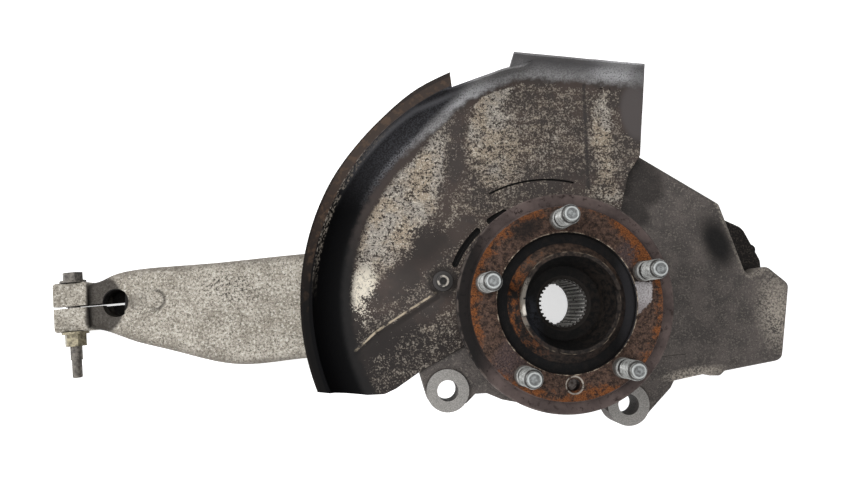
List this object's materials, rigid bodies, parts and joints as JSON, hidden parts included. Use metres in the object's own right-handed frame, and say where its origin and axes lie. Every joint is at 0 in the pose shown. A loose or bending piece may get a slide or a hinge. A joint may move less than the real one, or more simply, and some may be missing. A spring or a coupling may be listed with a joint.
{
  "type": "steering knuckle",
  "caption": "Cast steering knuckle with a long upper arm, split ball-joint clamp, caliper lugs, bolted hub bearing, studded wheel flange and pressed dust shield.",
  "frame": {"origin": "Where the hub axis meets the wheel-mounting face of the hub flange, the centre of the stud circle.", "axes": "+Z is the hub axis, pointing outboard along the wheel pilot. X is the longest direction: -X runs along the long arm to the upper ball-joint clamp, +X to the lower ball joint. +Y completes the frame and points to the tie-rod boss."},
  "size_m": [0.6127, 0.2888, 0.217],
  "materials": {
    "cast_aluminium": "sand-cast, grimy",
    "shield_steel": "worn dark coating with pale specks",
    "screw_steel": "dull",
    "bolt_steel": "dark, dull",
    "zinc_steel": "yellowed zinc",
    "bearing_steel": "ground",
    "hub_steel": "rusted forging",
    "stud_steel": "bright zinc",
    "seal_rubber": "matt",
    "cage_polymer": "moulded"
  },
  "bodies": {
    "upright": {"knuckle": "cast_aluminium", "dust_shield": "shield_steel", "shield_screw": "screw_steel", "shield_washer": "screw_steel", "pinch_bolt": "bolt_steel", "pinch_nut": "zinc_steel", "bearing_outer_ring": "bearing_steel", "hub_bolts": "bolt_steel", "outboard_seal": "seal_rubber", "inboard_seal": "seal_rubber"},
    "hub": {"hub_spindle": "hub_steel", "wheel_studs": "stud_steel", "bearing_inner_ring": "bearing_steel", "encoder_ring": "seal_rubber"},
    "outboard_row": {"outboard_cage": "cage_polymer", "outboard_ball_1": "bearing_steel", "outboard_ball_2": "bearing_steel", "outboard_ball_3": "bearing_steel", "outboard_ball_4": "bearing_steel", "outboard_ball_5": "bearing_steel", "outboard_ball_6": "bearing_steel", "outboard_ball_7": "bearing_steel", "outboard_ball_8": "bearing_steel", "outboard_ball_9": "bearing_steel", "outboard_ball_10": "bearing_steel", "outboard_ball_11": "bearing_steel", "outboard_ball_12": "bearing_steel", "outboard_ball_13": "bearing_steel"},
    "inboard_row": {"inboard_cage": "cage_polymer", "inboard_ball_1": "bearing_steel", "inboard_ball_2": "bearing_steel", "inboard_ball_3": "bearing_steel", "inboard_ball_4": "bearing_steel", "inboard_ball_5": "bearing_steel", "inboard_ball_6": "bearing_steel", "inboard_ball_7": "bearing_steel", "inboard_ball_8": "bearing_steel", "inboard_ball_9": "bearing_steel", "inboard_ball_10": "bearing_steel", "inboard_ball_11": "bearing_steel", "inboard_ball_12": "bearing_steel", "inboard_ball_13": "bearing_steel"}
  },
  "joints": [
    {"name": "hub_spin", "type": "hinge", "parent": "upright", "child": "hub", "pos_m": [0, 0, 0], "axis": [0, 0, 1], "continuous": true},
    {"name": "outboard_row_spin", "type": "hinge", "parent": "upright", "child": "outboard_row", "pos_m": [0, 0, -0.033], "axis": [0, 0, 1], "continuous": true},
    {"name": "inboard_row_spin", "type": "hinge", "parent": "upright", "child": "inboard_row", "pos_m": [0, 0, -0.059], "axis": [0, 0, 1], "continuous": true}
  ],
  "couplings": [
    {"joint": "outboard_row_spin", "follows": "hub_spin", "ratio": 0.4212},
    {"joint": "inboard_row_spin", "follows": "hub_spin", "ratio": 0.4212}
  ]
}
